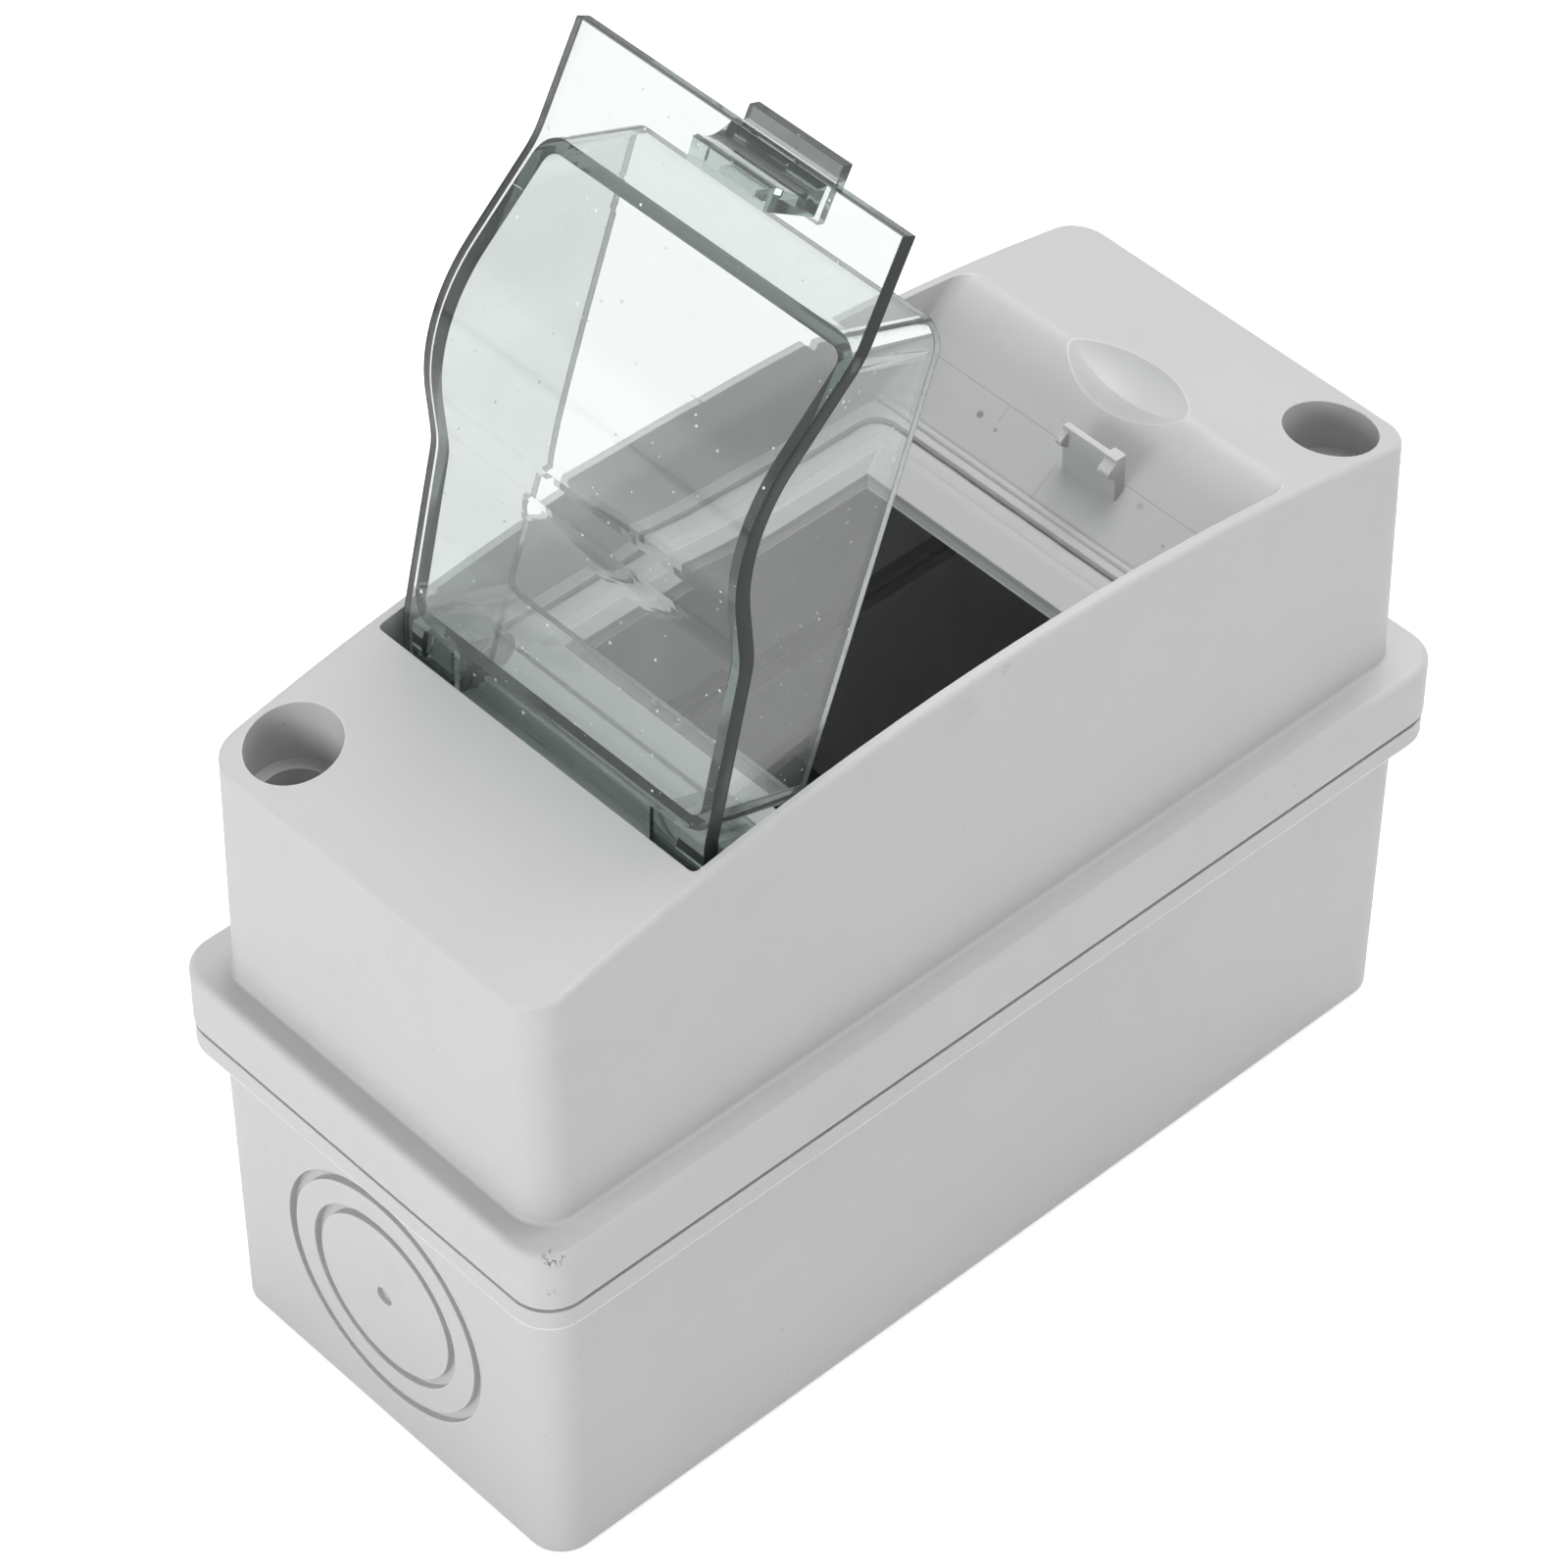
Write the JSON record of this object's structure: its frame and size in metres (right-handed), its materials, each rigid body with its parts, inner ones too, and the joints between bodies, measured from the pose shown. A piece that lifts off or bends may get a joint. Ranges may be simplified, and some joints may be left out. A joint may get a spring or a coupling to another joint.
{
  "type": "two-module distribution box",
  "caption": "Small wall-mounted plastic breaker box with a flanged back box, arched screwed cover, hinged tinted clear door over a window, rail and gaskets.",
  "frame": {"origin": "middle of the flat back face, which goes against the wall", "axes": "+Z out of the wall towards the door, +Y along the box towards the door's hinge, +X across the box"},
  "size_m": [0.065, 0.145, 0.1685],
  "materials": {
    "housing": "light grey moulded plastic with a fine satin texture",
    "clear_door": "clear moulded plastic with a light grey-green tint, polished",
    "seal_rubber": "soft pale grey sealing foam rubber",
    "rail_steel": "zinc-plated sheet steel",
    "screw_steel": "zinc-plated steel"
  },
  "bodies": {
    "housing": {"back_box": "housing", "front_cover": "housing", "door_seal": "seal_rubber", "cover_gasket": "seal_rubber", "din_rail": "rail_steel", "rail_screws": "screw_steel", "cover_screws": "screw_steel", "screw_seals": "seal_rubber"},
    "door": {"door": "clear_door"}
  },
  "joints": [
    {"name": "door_hinge", "type": "hinge", "parent": "housing", "child": "door", "pos_m": [0, 0.03397, 0.09072], "axis": [-1, 0, 0], "range_deg": [-69.76, 20.2]}
  ]
}
